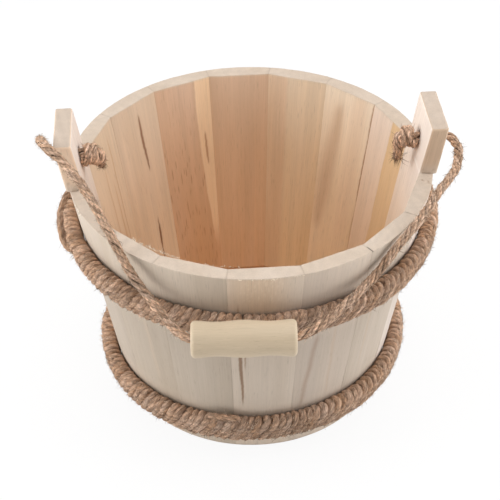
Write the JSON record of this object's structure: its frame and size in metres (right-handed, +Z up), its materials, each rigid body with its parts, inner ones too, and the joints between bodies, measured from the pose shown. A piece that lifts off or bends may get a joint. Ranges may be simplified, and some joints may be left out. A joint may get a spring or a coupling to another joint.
{
  "type": "wooden bucket",
  "caption": "Flared wooden stave bucket with two drilled ears, jute-wound hoops, a swinging rope bail and a turned wooden grip for carrying sand or water.",
  "frame": {"origin": "centre of the ring of stave ends that the bucket stands on, at floor level", "axes": "+Z up along the bucket's axis, the two ears on +X and -X, the bail hanging on the -Y side"},
  "size_m": [0.287, 0.2883, 0.2221],
  "materials": {
    "stave_wood": "planed, unfinished softwood",
    "ear_wood": "sawn, unfinished softwood",
    "bottom_wood": "planed, unfinished softwood",
    "hoop_core": "packed jute fibre",
    "jute_twine": "hairy twisted jute",
    "jute_rope": "hairy laid jute rope",
    "grip_wood": "smooth turned wood"
  },
  "bodies": {
    "bucket": {"stave_01": "stave_wood", "stave_02": "stave_wood", "stave_03": "stave_wood", "stave_04": "stave_wood", "stave_05": "stave_wood", "stave_06": "stave_wood", "stave_07": "stave_wood", "stave_08": "stave_wood", "stave_09": "stave_wood", "stave_10": "stave_wood", "stave_11": "stave_wood", "stave_12": "stave_wood", "stave_13": "stave_wood", "stave_14": "stave_wood", "ear_stave_right": "ear_wood", "ear_stave_left": "ear_wood", "bottom_board_left": "bottom_wood", "bottom_board_middle": "bottom_wood", "bottom_board_right": "bottom_wood", "upper_hoop_core": "hoop_core", "upper_hoop_wrap": "jute_twine", "lower_hoop_core": "hoop_core", "lower_hoop_wrap": "jute_twine"},
    "bail": {"right_knot": "jute_rope", "left_knot": "jute_rope", "rope_right": "jute_rope", "rope_left": "jute_rope", "rope_grip_run": "jute_rope"},
    "grip": {"grip": "grip_wood"}
  },
  "joints": [
    {"name": "bail_swing", "type": "hinge", "parent": "bucket", "child": "bail", "pos_m": [0, 0, 0.195], "axis": [-1, 0, 0], "range_deg": [0, 170]},
    {"name": "grip_spin", "type": "hinge", "parent": "bail", "child": "grip", "pos_m": [-0.0152, -0.1438, 0.14872], "axis": [0.9984, -0.0558, 0], "continuous": true}
  ]
}
